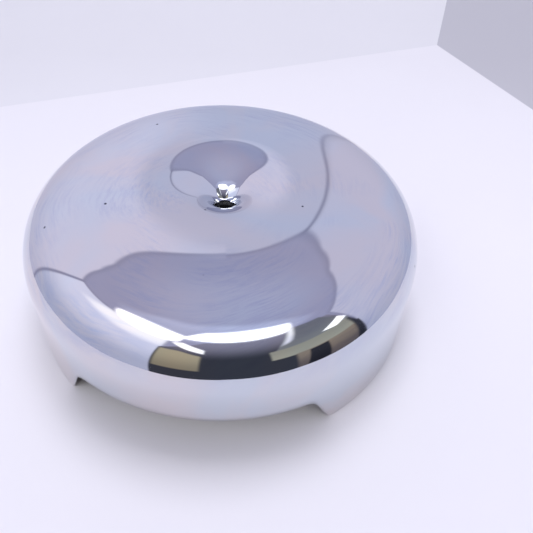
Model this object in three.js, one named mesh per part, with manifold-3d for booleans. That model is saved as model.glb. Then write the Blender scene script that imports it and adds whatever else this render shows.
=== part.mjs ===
// Air filter housing for a small engine: a pressed cover over a ring-shaped filter element,
// on a backplate that a cast adapter and two standoffs hold to the engine.
// Millimetres, +Z up. The origin is on the housing's centre line, in the plane that the cover's
// rim, the adapter's lower face and the standoffs all stand on.
import * as THREE from "three";
import { mergeVertices } from "three/addons/utils/BufferGeometryUtils.js";
import Module from "manifold-3d";

const wasm = await Module();
wasm.setup();

// Driving dimensions of the cover
const coverRadius = 101.5; // outside of the skirt, at the rim
const coverHeight = 72.4; // rim to crest
const coverSheet = 1.2;
const skirtTaper = 1.2; // radius lost between the rim and the shoulder
const shoulderHeight = 38.4; // where the skirt starts to turn over
const shoulderPower = 2.35; // 2 is an ellipse, more is squarer
const crestRadius = 47; // ring where the shoulder ends and the dish begins
const dishDepth = 16.4; // crest to the edge of the screw hole
const funnelRadius = 16; // where the shallow dish becomes a funnel
const funnelDepth = 6.1; // depth of the dish there
const funnelSlope = 25; // degrees, at the funnel's mouth
const screwHoleSlope = 62; // degrees, at the screw hole
const screwHoleRadius = 4.2; // clears an 8 mm screw

// The relief is the wide notch in the skirt that lets the cover sit over a neighbour
const reliefDirection = -100; // degrees from +X, through the middle of the notch
const reliefHalfWidth = 61.8; // at the rim, straight across
const reliefHeight = 21.4;
const reliefLean = 0.4; // how far each side closes in for a unit of height
const reliefCorner = 7;
const reliefFoot = 2.5; // rounding where the notch meets the rim

// Carburettor adapter
const throatRadius = 21;
const adapterHeight = 22;
const adapterFlangeWidth = 14.5; // throat wall to the edge of the upper flange
const adapterNeck = 5.5; // wall of the neck between the flanges
const lowerFlangeWidth = 13;
const lowerFlangeHeight = 6;
const upperFlangeHeight = 9;
const bellMouth = 2; // how far the throat flares at its top

// Backplate
const plateSheet = 1.5;
const plateLip = 6; // height of the turned-up edge above the plate
const plateBend = 3; // outside radius of that edge's bend
const intakeGap = 15.6; // open ring between the backplate and the cover's skirt

// Filter element
const filterMargin = 7.3; // edge of the backplate to the element
const capHeight = 7;
const capChamfer = 1.5;
const screenInset = 1.6; // the screens stand this far inside the caps' edges
const screenSheet = 0.8;
const pleatCount = 64;
const paperSheet = 0.844; // square to a pleat's wall, halfway along it
const filterHeadroom = 0.5; // top cap to the underside of the cover

// Bracket, post and fasteners
const bracketWidth = 16;
const bracketSheet = 2;
const bracketFootEnd = 6; // from the screw to the end of the foot
const bracketLegRun = 8; // how far each leg leans in
const postLength = 11;
const postAcrossFlats = 12;
const postThreadRadius = 3.4; // tapped for the 8 mm cover screw
const postMouthRadius = 4.7;
const postShankLength = 9;
const standoffRadius = 7;
const gasketThickness = 0.8;
const ringSection = 1; // section radius of the O-ring
const ringRadius = 26;

const m6 = { shank: 3, acrossFlats: 10, head: 4, nut: 5, washer: 6.1, washerThickness: 1.6 };
const m8 = { shank: 4, acrossFlats: 13, head: 5.3, nut: 5, washer: 8, washerThickness: 1.6 };
const adapterScrewLength = 12;
const bracketScrewLength = 12;
const supportBoltLength = 18;

// Breather elbow, which brings the crankcase gases into the clean side of the filter
const elbowRadius = 4.2;
const elbowBore = 2.8;
const elbowBend = 9;
const elbowReach = 14; // straight length after the bend
const elbowRise = 4; // above the backplate
const elbowBarb = 0.9; // height of the hose barbs
const grommetRadius = 7.4;
const grommetGroove = 1.8; // depth of the groove that holds the plate's edge
const grommetLip = 2.2;

// Clearances
const seatGap = 0.3; // between faces that touch
const threadGap = 0.3; // round a shank or a thread
const fastenerRoom = 0.7; // between a nut or a washer and what stands beside it

// Positions that follow
const degrees = Math.PI / 180;
const cornerRatio = 1 / Math.cos(30 * degrees); // a hexagon's corners over its flats
const upperFlangeRadius = throatRadius + adapterFlangeWidth;
const lowerFlangeRadius = throatRadius + lowerFlangeWidth;
const adapterScrewCircle = upperFlangeRadius - m6.washer + 0.1;
const fastenerCircle = upperFlangeRadius + (m6.acrossFlats / 2) * cornerRatio + fastenerRoom;
const supportCircle = upperFlangeRadius + standoffRadius + fastenerRoom;
const elbowCircle = upperFlangeRadius + grommetRadius + seatGap;
const filterInnerRadius = supportCircle + m8.washer + fastenerRoom + seatGap;
const plateRadius = coverRadius - skirtTaper - coverSheet - intakeGap;
const filterOuterRadius = plateRadius - filterMargin;
const plateBottom = adapterHeight + gasketThickness + 2 * seatGap;
const plateTop = plateBottom + plateSheet;
const filterBottom = plateTop + seatGap;

// Solids

function solid(geometry) {
  const bare = geometry.clone();
  bare.deleteAttribute("normal");
  bare.deleteAttribute("uv");
  const merged = mergeVertices(bare, 1e-4);
  const vertProperties = new Float32Array(merged.attributes.position.array);
  const triVerts = new Uint32Array(merged.index.array);
  return new wasm.Manifold(new wasm.Mesh({ numProp: 3, vertProperties, triVerts }));
}

function geometryOf(body) {
  const { vertProperties, triVerts } = body.getMesh();
  const geometry = new THREE.BufferGeometry();
  geometry.setAttribute("position", new THREE.BufferAttribute(vertProperties, 3));
  geometry.setIndex(new THREE.BufferAttribute(triVerts, 1));
  geometry.computeVertexNormals();
  return geometry;
}

// Turns a closed outline of [radius, height] points about Z
function revolve(outline, segments) {
  const points = outline.map(([radius, height]) => new THREE.Vector2(radius, height));
  if (THREE.ShapeUtils.area(points) < 0) points.reverse();
  points.push(points[0].clone());
  return solid(new THREE.LatheGeometry(points, segments).rotateX(Math.PI / 2));
}

function cylinder(radius, bottom, top, segments = 20) {
  const geometry = new THREE.CylinderGeometry(radius, radius, top - bottom, segments);
  return solid(geometry.rotateX(Math.PI / 2).translate(0, 0, (top + bottom) / 2));
}

function hexagon(acrossFlats, bottom, top) {
  return cylinder((acrossFlats / 2) * cornerRatio, bottom, top, 6);
}

function ring(inner, outer, bottom, top, segments) {
  return revolve([[inner, bottom], [outer, bottom], [outer, top], [inner, top]], segments);
}

// Moves a line of [x, y] points sideways, to its left for a positive distance
function offsetLine(line, distance) {
  return line.map(([x, y], i) => {
    const before = line[Math.max(i - 1, 0)];
    const after = line[Math.min(i + 1, line.length - 1)];
    const into = i > 0 ? new THREE.Vector2(x - before[0], y - before[1]).normalize() : null;
    const out = i < line.length - 1 ? new THREE.Vector2(after[0] - x, after[1] - y).normalize() : null;
    const along = new THREE.Vector2().add(into ?? out).add(out ?? into).normalize();
    const stretch = distance / along.dot(out ?? into);
    return [x - along.y * stretch, y + along.x * stretch];
  });
}

function sheetOutline(line, thickness) {
  return [...line, ...offsetLine(line, thickness).reverse()];
}

function polar(radius, angle) {
  return [radius * Math.cos(angle * degrees), radius * Math.sin(angle * degrees)];
}

function drill(body, places, radius, bottom, top) {
  const bit = cylinder(radius, bottom, top, 14);
  return places.reduce((left, [x, y]) => left.subtract(bit.translate([x, y, 0])), body);
}

// Cover

// The outside of the cover, from the rim over the crest and down to the screw hole
function coverOutside() {
  const run = coverRadius - skirtTaper - crestRadius;
  const rise = coverHeight - shoulderHeight;
  const shoulderSteps = 11;
  const line = [[coverRadius, 0]];
  for (let i = 0; i <= shoulderSteps; i += 1) {
    const turn = (i / shoulderSteps) * (Math.PI / 2);
    const across = Math.max(Math.cos(turn), 0) ** (2 / shoulderPower);
    const up = Math.sin(turn) ** (2 / shoulderPower);
    line.push([crestRadius + run * across, shoulderHeight + rise * up]);
  }
  const mouth = new THREE.Vector2(funnelRadius, coverHeight - funnelDepth);
  const mouthWay = new THREE.Vector2(1, Math.tan(funnelSlope * degrees)).normalize();
  const hole = new THREE.Vector2(screwHoleRadius, coverHeight - dishDepth);
  const holeWay = new THREE.Vector2(1, Math.tan(screwHoleSlope * degrees)).normalize();
  const crest = new THREE.Vector2(crestRadius, coverHeight);
  const dishPull = (crestRadius - funnelRadius) / 3;
  const funnelPull = mouth.distanceTo(hole) / 3;
  const dish = new THREE.CubicBezierCurve(
    crest,
    crest.clone().setX(crestRadius - dishPull),
    mouth.clone().addScaledVector(mouthWay, dishPull),
    mouth,
  );
  const funnel = new THREE.CubicBezierCurve(
    mouth,
    mouth.clone().addScaledVector(mouthWay, -funnelPull),
    hole.clone().addScaledVector(holeWay, funnelPull),
    hole,
  );
  for (const point of [...dish.getPoints(5).slice(1), ...funnel.getPoints(4).slice(1)]) {
    line.push([point.x, point.y]);
  }
  return line;
}

const outside = coverOutside();
const inside = offsetLine(outside, coverSheet);
inside[0] = [coverRadius - coverSheet, 0];
const coverTip = inside.at(-1)[1]; // underside of the cover round the screw hole

function coverUnderside(radius) {
  const i = inside.findIndex(([r], k) => k > 0 && r <= radius);
  const [r0, z0] = inside[i - 1];
  const [r1, z1] = inside[i];
  return z0 + ((z1 - z0) * (radius - r0)) / (r1 - r0);
}

// The notch is punched straight through the skirt, with round corners at the top
function reliefPunch() {
  const side = new THREE.Vector2(-reliefLean, 1).normalize();
  const corner = new THREE.Vector2(reliefHalfWidth - reliefLean * reliefHeight, reliefHeight);
  const turn = Math.PI / 2 - Math.atan(reliefLean);
  const setback = reliefCorner * Math.tan(turn / 2);
  const below = -1;
  const right = [
    new THREE.Vector2(reliefHalfWidth + reliefFoot, below),
    new THREE.Vector2(reliefHalfWidth + reliefFoot, 0),
    ...new THREE.QuadraticBezierCurve(
      new THREE.Vector2(reliefHalfWidth + reliefFoot, 0),
      new THREE.Vector2(reliefHalfWidth, 0),
      new THREE.Vector2(reliefHalfWidth, 0).addScaledVector(side, reliefFoot),
    ).getPoints(3).slice(1),
    ...new THREE.QuadraticBezierCurve(
      corner.clone().addScaledVector(side, -setback),
      corner,
      corner.clone().setX(corner.x - setback),
    ).getPoints(6),
  ];
  const left = right.map(({ x, y }) => new THREE.Vector2(-x, y)).reverse();
  const depth = coverRadius + 10;
  const geometry = new THREE.ExtrudeGeometry(new THREE.Shape([...right, ...left]), {
    depth,
    bevelEnabled: false,
  });
  return solid(geometry.rotateX(Math.PI / 2).rotateZ((reliefDirection + 90) * degrees));
}

function cover() {
  return revolve([...outside, ...inside.toReversed()], 56).subtract(reliefPunch());
}

// Filter element

const filterTop = coverUnderside(filterOuterRadius) - filterHeadroom;
const mediaBottom = filterBottom + capHeight + seatGap;
const mediaTop = filterTop - capHeight - seatGap;
const innerScreenRadius = filterInnerRadius + screenInset;
const outerScreenRadius = filterOuterRadius - screenInset;

function filterCap(bottom) {
  const top = bottom + capHeight;
  const outline = [
    [filterInnerRadius + capChamfer, bottom],
    [filterOuterRadius - capChamfer, bottom],
    [filterOuterRadius, bottom + capChamfer],
    [filterOuterRadius, top - capChamfer],
    [filterOuterRadius - capChamfer, top],
    [filterInnerRadius + capChamfer, top],
    [filterInnerRadius, top - capChamfer],
    [filterInnerRadius, bottom + capChamfer],
  ];
  return revolve(outline, 40);
}

// A slanted wall is thicker along a radius than square to itself, and more so in a deep pleat
function foldThickness(innermost, outermost) {
  const depth = outermost - innermost;
  const halfPitch = (Math.PI * (innermost + outermost)) / (2 * pleatCount);
  const slant = (halfPitch / paperSheet) ** 2 - 1;
  return (Math.sqrt(depth ** 2 + slant * (depth ** 2 + halfPitch ** 2)) - depth) / slant;
}

function pleats() {
  const innermost = innerScreenRadius + screenSheet + seatGap;
  const outermost = outerScreenRadius - screenSheet - seatGap;
  const pleatFold = foldThickness(innermost, outermost);
  const zigzag = (inner, outer) =>
    Array.from({ length: 2 * pleatCount }, (_, i) => {
      const radius = i % 2 ? inner : outer;
      return new THREE.Vector2(...polar(radius, (i * 180) / pleatCount));
    });
  const shape = new THREE.Shape(zigzag(innermost + pleatFold, outermost));
  shape.holes.push(new THREE.Path(zigzag(innermost, outermost - pleatFold)));
  const depth = mediaTop - mediaBottom;
  const geometry = new THREE.ExtrudeGeometry(shape, { depth, bevelEnabled: false });
  return solid(geometry.translate(0, 0, mediaBottom));
}

// Backplate and adapter

const thirds = (start, radius) => [0, 120, 240].map((turn) => polar(radius, start + turn));
const adapterScrewPlaces = thirds(90, adapterScrewCircle);
const carburettorHolePlaces = thirds(30, (throatRadius + adapterNeck + lowerFlangeRadius) / 2 + 0.6);
const bracketScrewPlaces = [0, 180].map((turn) => polar(fastenerCircle, turn));
const supportPlaces = [50, 130].map((turn) => polar(supportCircle, turn));
const elbowPlace = polar(elbowCircle, -90);
const grommetHoleRadius = grommetRadius - grommetGroove;

function backplate() {
  const bendSteps = 3;
  const line = [[throatRadius + bellMouth + seatGap, plateBottom]];
  for (let i = 0; i <= bendSteps; i += 1) {
    const [across, down] = polar(plateBend, (i / bendSteps) * 90 - 90);
    line.push([plateRadius - plateBend + across, plateBottom + plateBend + down]);
  }
  line.push([plateRadius, plateTop + plateLip]);
  let body = revolve(sheetOutline(line, plateSheet), 48);
  body = drill(body, [...adapterScrewPlaces, ...bracketScrewPlaces], m6.shank + threadGap, 0, filterTop);
  body = drill(body, supportPlaces, m8.shank + threadGap, 0, filterTop);
  return drill(body, [elbowPlace], grommetHoleRadius + seatGap, 0, filterTop);
}

const ringGroove = { inner: ringRadius - ringSection - seatGap, outer: ringRadius + ringSection + seatGap };

function adapter() {
  const neckRadius = throatRadius + adapterNeck;
  const upperFlangeBottom = adapterHeight - upperFlangeHeight;
  const grooveDepth = 2 * ringSection + seatGap;
  const outline = [
    [throatRadius, 0],
    [ringGroove.inner, 0],
    [ringGroove.inner, grooveDepth],
    [ringGroove.outer, grooveDepth],
    [ringGroove.outer, 0],
    [lowerFlangeRadius, 0],
    [lowerFlangeRadius, lowerFlangeHeight],
    [neckRadius, lowerFlangeHeight],
    [neckRadius, upperFlangeBottom],
    [upperFlangeRadius, upperFlangeBottom],
    [upperFlangeRadius, adapterHeight],
    [throatRadius + bellMouth, adapterHeight],
    [throatRadius + bellMouth * 0.3, adapterHeight - bellMouth],
    [throatRadius, adapterHeight - 2.5 * bellMouth],
  ];
  const body = drill(
    revolve(outline, 36),
    adapterScrewPlaces,
    m6.shank + threadGap,
    upperFlangeBottom - 1,
    adapterHeight + 1,
  );
  return drill(body, carburettorHolePlaces, m6.shank + threadGap, -1, lowerFlangeHeight + 1);
}

function adapterGasket() {
  const bottom = adapterHeight + seatGap;
  const top = bottom + gasketThickness;
  const body = ring(throatRadius + bellMouth + seatGap, upperFlangeRadius, bottom, top, 36);
  return drill(body, adapterScrewPlaces, m6.shank + threadGap, bottom - 1, top + 1);
}

function carburettorRing() {
  const geometry = new THREE.TorusGeometry(ringRadius, ringSection, 6, 28);
  return solid(geometry.translate(0, 0, ringSection + seatGap / 2));
}

// Bracket and post

const postTop = coverTip - seatGap;
const postBottom = postTop - postLength;
const bracketTop = postBottom - seatGap;
const bracketBottom = plateTop + seatGap;

function bracket() {
  const footStart = fastenerCircle - m6.washer - fastenerRoom - bracketSheet;
  const legTop = bracketTop - bracketSheet;
  const right = [
    [footStart - bracketLegRun, legTop],
    [footStart, bracketBottom],
    [fastenerCircle + bracketFootEnd, bracketBottom],
  ];
  const left = right.map(([x, z]) => [-x, z]).reverse();
  const outline = sheetOutline([...left, ...right], bracketSheet);
  const shape = new THREE.Shape(outline.map(([x, z]) => new THREE.Vector2(x, z)));
  const geometry = new THREE.ExtrudeGeometry(shape, { depth: bracketWidth, bevelEnabled: false });
  const body = solid(geometry.rotateX(Math.PI / 2).translate(0, bracketWidth / 2, 0));
  const drilled = drill(body, bracketScrewPlaces, m6.shank + threadGap, 0, bracketTop - bracketSheet);
  return drill(drilled, [[0, 0]], m8.shank + threadGap, bracketTop - 2 * bracketSheet, bracketTop + 1);
}

function post() {
  const chamfer = postMouthRadius - postThreadRadius;
  const bore = revolve(
    [
      [0, postBottom + 2],
      [postThreadRadius, postBottom + 2],
      [postThreadRadius, postTop - chamfer],
      [postMouthRadius + 0.5, postTop + 0.5],
      [0, postTop + 0.5],
    ],
    20,
  );
  return hexagon(postAcrossFlats, postBottom, postTop)
    .add(cylinder(m8.shank, postBottom - postShankLength, postBottom + 1))
    .subtract(bore);
}

// Fasteners, each built with the underside of its head, or its lower face, at its own origin

function hexBolt(size, length) {
  return hexagon(size.acrossFlats, 0, size.head).add(cylinder(size.shank, -length, 1, 12));
}

function hexNut(size) {
  const hole = cylinder(size.shank + threadGap, -1, size.nut + 1, 14);
  return hexagon(size.acrossFlats, 0, size.nut).subtract(hole);
}

function flatWasher(size) {
  return ring(size.shank + threadGap, size.washer, 0, size.washerThickness, 16);
}

// A ring cut through on one side
function lockWasher(size) {
  const cut = new THREE.BoxGeometry(size.washer, 0.8, 4 * size.washerThickness);
  return flatWasher(size).subtract(solid(cut.translate(size.washer * 0.7, 0, 0)));
}

function standoff() {
  return ring(m8.shank + threadGap, standoffRadius, 0, plateBottom - seatGap, 20);
}

// Breather

function elbow() {
  const [x, y] = elbowPlace;
  const top = plateTop + elbowRise;
  const bendTop = elbowRadius + elbowBarb + elbowBend + 2;
  const low = bendTop - elbowBend;
  const path = new THREE.CurvePath();
  const start = new THREE.Vector3(x, y, top);
  const bendStart = new THREE.Vector3(x, y, bendTop);
  const bendEnd = new THREE.Vector3(x, y - elbowBend, low);
  const end = new THREE.Vector3(x, y - elbowBend - elbowReach, low);
  path.add(new THREE.LineCurve3(start, bendStart));
  path.add(new THREE.QuadraticBezierCurve3(bendStart, new THREE.Vector3(x, y, low), bendEnd));
  path.add(new THREE.LineCurve3(bendEnd, end));
  const section = new THREE.Shape().absarc(0, 0, elbowRadius, 0, 2 * Math.PI);
  section.holes.push(new THREE.Path().absarc(0, 0, elbowBore, 0, 2 * Math.PI, true));
  const options = { extrudePath: path, steps: 12, curveSegments: 6, bevelEnabled: false };
  const barbLength = 3;
  const barb = revolve(
    [
      [elbowRadius - 0.5, 0],
      [elbowRadius + elbowBarb, 0],
      [elbowRadius, barbLength],
      [elbowRadius - 0.5, barbLength],
    ],
    12,
  ).rotate([90, 0, 0]);
  const barbs = [0, barbLength + 1].map((back) => barb.translate([x, end.y + barbLength + back, low]));
  return barbs.reduce((body, next) => body.add(next), solid(new THREE.ExtrudeGeometry(section, options)));
}

function grommet() {
  const inner = elbowRadius + seatGap;
  const outline = [
    [inner, plateBottom - seatGap - grommetLip],
    [grommetRadius - 0.8, plateBottom - seatGap - grommetLip],
    [grommetRadius, plateBottom - seatGap - grommetLip + 0.8],
    [grommetRadius, plateBottom - seatGap],
    [grommetHoleRadius, plateBottom - seatGap],
    [grommetHoleRadius, plateTop + seatGap],
    [grommetRadius, plateTop + seatGap],
    [grommetRadius, plateTop + seatGap + grommetLip - 0.8],
    [grommetRadius - 0.8, plateTop + seatGap + grommetLip],
    [inner, plateTop + seatGap + grommetLip],
  ];
  return revolve(outline, 16).translate([...elbowPlace, 0]);
}

// Finishes

const finish = (color, roughness, metalness) => ({ color, roughness, metalness });
const chrome = finish(0xd4d5e0, 0.06, 1);
const zinc = finish(0xb8bcc2, 0.35, 1);
const blackSteel = finish(0x2c2d31, 0.45, 0.6);
const castAluminium = finish(0xa9abae, 0.55, 0.9);
const paper = finish(0xe0d3b4, 0.95, 0);
const orangeRubber = finish(0xb5532a, 0.6, 0);
const blackRubber = finish(0x1d1d1f, 0.8, 0);
const fibre = finish(0x6b6f66, 0.9, 0);
const moulding = finish(0x26272a, 0.5, 0);

// Assembly

const housing = new THREE.Group();
const coverGroup = new THREE.Group();
const filterGroup = new THREE.Group();
const baseGroup = new THREE.Group();
housing.add(coverGroup, filterGroup, baseGroup);

function place(group, name, body, look, position = [0, 0, 0]) {
  const mesh = new THREE.Mesh(geometryOf(body), new THREE.MeshStandardMaterial(look));
  mesh.name = name;
  mesh.position.set(...position);
  group.add(mesh);
}

place(coverGroup, "cover", cover(), chrome);

place(filterGroup, "filter_bottom_cap", filterCap(filterBottom), orangeRubber);
place(filterGroup, "filter_top_cap", filterCap(filterTop - capHeight), orangeRubber);
place(filterGroup, "filter_pleats", pleats(), paper);
const screenEnds = [mediaBottom, mediaTop, 40];
place(
  filterGroup,
  "filter_inner_screen",
  ring(innerScreenRadius, innerScreenRadius + screenSheet, ...screenEnds),
  zinc,
);
place(
  filterGroup,
  "filter_outer_screen",
  ring(outerScreenRadius - screenSheet, outerScreenRadius, ...screenEnds),
  zinc,
);

place(baseGroup, "backplate", backplate(), blackSteel);
place(baseGroup, "carburettor_adapter", adapter(), castAluminium);
place(baseGroup, "adapter_gasket", adapterGasket(), fibre);
place(baseGroup, "carburettor_o_ring", carburettorRing(), blackRubber);
place(baseGroup, "cover_bracket", bracket(), zinc);
place(baseGroup, "cover_post", post(), zinc);
place(baseGroup, "post_nut", hexNut(m8), zinc, [0, 0, bracketTop - bracketSheet - seatGap - m8.nut]);

// A lock washer and a screw on each place, standing on the face at the given height
function fasten(name, places, size, length, face, washer) {
  places.forEach(([x, y], i) => {
    const washerBottom = face + seatGap;
    const headBottom = washerBottom + size.washerThickness + seatGap;
    place(baseGroup, `${name}_washer_${i + 1}`, washer(size), zinc, [x, y, washerBottom]);
    place(baseGroup, `${name}_${i + 1}`, hexBolt(size, length), zinc, [x, y, headBottom]);
  });
}

fasten("adapter_screw", adapterScrewPlaces, m6, adapterScrewLength, plateTop, lockWasher);
const footTop = bracketBottom + bracketSheet;
fasten("bracket_screw", bracketScrewPlaces, m6, bracketScrewLength, footTop, lockWasher);
fasten("support_bolt", supportPlaces, m8, supportBoltLength, plateTop, flatWasher);
bracketScrewPlaces.forEach(([x, y], i) => {
  place(baseGroup, `bracket_nut_${i + 1}`, hexNut(m6), zinc, [x, y, plateBottom - seatGap - m6.nut]);
});
supportPlaces.forEach(([x, y], i) => {
  place(baseGroup, `support_standoff_${i + 1}`, standoff(), castAluminium, [x, y, 0]);
});
place(baseGroup, "breather_elbow", elbow(), moulding);
place(baseGroup, "breather_grommet", grommet(), blackRubber);

export default housing;
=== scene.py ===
import math

import bmesh
import bpy
from mathutils import Matrix, Vector


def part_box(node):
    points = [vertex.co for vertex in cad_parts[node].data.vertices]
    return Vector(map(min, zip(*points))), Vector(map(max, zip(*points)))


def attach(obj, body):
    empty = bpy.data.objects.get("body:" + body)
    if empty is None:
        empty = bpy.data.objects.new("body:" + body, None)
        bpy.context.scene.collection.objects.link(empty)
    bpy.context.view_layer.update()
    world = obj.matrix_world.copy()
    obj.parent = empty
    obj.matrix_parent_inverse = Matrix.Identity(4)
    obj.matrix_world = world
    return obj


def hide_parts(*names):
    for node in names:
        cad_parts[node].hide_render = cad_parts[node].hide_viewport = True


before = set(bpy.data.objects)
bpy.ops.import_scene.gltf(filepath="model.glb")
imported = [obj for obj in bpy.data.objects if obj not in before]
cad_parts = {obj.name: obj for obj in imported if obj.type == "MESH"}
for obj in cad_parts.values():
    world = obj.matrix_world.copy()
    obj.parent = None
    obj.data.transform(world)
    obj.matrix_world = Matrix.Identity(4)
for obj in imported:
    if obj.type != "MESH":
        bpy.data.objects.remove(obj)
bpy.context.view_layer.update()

mm = 0.001


def linearColor(hexColor):
    channels = [int(hexColor[i:i + 2], 16) / 255 for i in (0, 2, 4)]
    return tuple(c / 12.92 if c <= 0.04045 else ((c + 0.055) / 1.055) ** 2.4 for c in channels) + (1.0,)


def addNode(tree, kind, inputs=None, **settings):
    made = tree.nodes.new(kind)
    for name, value in settings.items():
        setattr(made, name, value)
    for socket, value in (inputs or {}).items():
        if isinstance(value, bpy.types.NodeSocket):
            tree.links.new(value, made.inputs[socket])
        else:
            made.inputs[socket].default_value = value
    return made


def newMaterial(name):
    material = bpy.data.materials.new(name)
    material.use_nodes = True
    tree = material.node_tree
    shader = tree.nodes["Principled BSDF"]
    coords = addNode(tree, "ShaderNodeTexCoord").outputs["Object"]
    return material, tree, shader, coords


# one inside the corners, falling to nought over the soft edge; place is (x, y, 1)
def insideOf(tree, place, corners, soft, grow=0.0):
    middle = sum((Vector(c) for c in corners), Vector((0, 0))) / len(corners)
    mask = None
    for i, corner in enumerate(corners):
        a, b = Vector(corners[i - 1]), Vector(corner)
        side = (b - a).normalized()
        normal = Vector((-side.y, side.x))
        if normal.dot(middle - a) < 0:
            normal = -normal
        reach = addNode(
            tree, "ShaderNodeVectorMath", {0: place, 1: (normal.x, normal.y, grow - normal.dot(a))},
            operation="DOT_PRODUCT",
        )
        share = addNode(
            tree, "ShaderNodeMapRange", {"Value": reach.outputs["Value"], "From Min": -soft, "From Max": soft},
            interpolation_type="SMOOTHSTEP",
        ).outputs[0]
        mask = share if mask is None else addNode(
            tree, "ShaderNodeMath", {0: mask, 1: share}, operation="MULTIPLY",
        ).outputs[0]
    return mask


def bezier(a, b, c, d, steps):
    line = []
    for i in range(1, steps + 1):
        t = i / steps
        s = 1 - t
        line.append(tuple(s**3 * a[k] + 3 * s * s * t * b[k] + 3 * s * t * t * c[k] + t**3 * d[k] for k in (0, 1)))
    return line


def offsetLine(line, distance):
    moved = []
    for i, (x, y) in enumerate(line):
        before, after = line[max(i - 1, 0)], line[min(i + 1, len(line) - 1)]
        along = Vector((after[0] - before[0], after[1] - before[1])).normalized()
        moved.append((x - along.y * distance, y + along.x * distance))
    return moved


# rounds the corners of a closed outline of (radius, height, rounding) points
def roundedOutline(corners, steps=4):
    line = []
    count = len(corners)
    for i, (x, y, rounding) in enumerate(corners):
        here = Vector((x, y))
        if not rounding:
            line.append((x, y))
            continue
        back = (Vector(corners[i - 1][:2]) - here).normalized() * rounding
        ahead = (Vector(corners[(i + 1) % count][:2]) - here).normalized() * rounding
        a, d = here + back, here + ahead
        line.append(tuple(a))
        line += bezier(tuple(a), tuple(here + back * 0.45), tuple(here + ahead * 0.45), tuple(d), steps)
    return line


# turns a closed outline in millimetres about Z
def turnOutline(outline, steps, center=(0, 0), angle=2 * math.pi):
    mesh = bmesh.new()
    points = [mesh.verts.new((radius * mm, 0, height * mm)) for radius, height in outline]
    edges = [mesh.edges.new((points[i - 1], points[i])) for i in range(len(points))]
    full = angle >= 2 * math.pi
    if not full:
        mesh.faces.new(points)
    bmesh.ops.spin(mesh, geom=points + edges, axis=(0, 0, 1), cent=(0, 0, 0), angle=angle, steps=steps, use_merge=full)
    if not full:
        rim = [e for e in mesh.edges if e.is_boundary]
        bmesh.ops.holes_fill(mesh, edges=rim, sides=0)
    bmesh.ops.remove_doubles(mesh, verts=mesh.verts, dist=1e-6)
    bmesh.ops.recalc_face_normals(mesh, faces=mesh.faces)
    bmesh.ops.translate(mesh, vec=(center[0] * mm, center[1] * mm, 0), verts=mesh.verts)
    return mesh


def finishPiece(name, mesh, body, nodes, material, sharpAngle=35):
    for face in mesh.faces:
        face.smooth = True
    for edge in mesh.edges:
        edge.smooth = len(edge.link_faces) == 2 and edge.calc_face_angle(0) < math.radians(sharpAngle)
    data = bpy.data.meshes.new(name)
    mesh.to_mesh(data)
    mesh.free()
    data.materials.append(material)
    piece = bpy.data.objects.new(name, data)
    bpy.context.scene.collection.objects.link(piece)
    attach(piece, body)
    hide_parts(*nodes)
    return piece


chromeLook = {
    "warm": "d9d4d6",  # the plate where its film is thin
    "cool": "cfd5dd",  # and where it is thick
    "film": "c3c7d6",  # dried polish in the wipe marks
    "roughness": 0.035,
    "scuffRoughness": 0.085,
    "cleanBelow": 40,  # wipe marks stop at the skirt
    "streakWidth": 1.5,  # real wipe marks are finer; this is as coarse as shows
    "pitSpacing": 9,
    "pitColor": "4a4c58",
    "pitDepth": 0.15,
    "waviness": 0.02,
}


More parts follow.
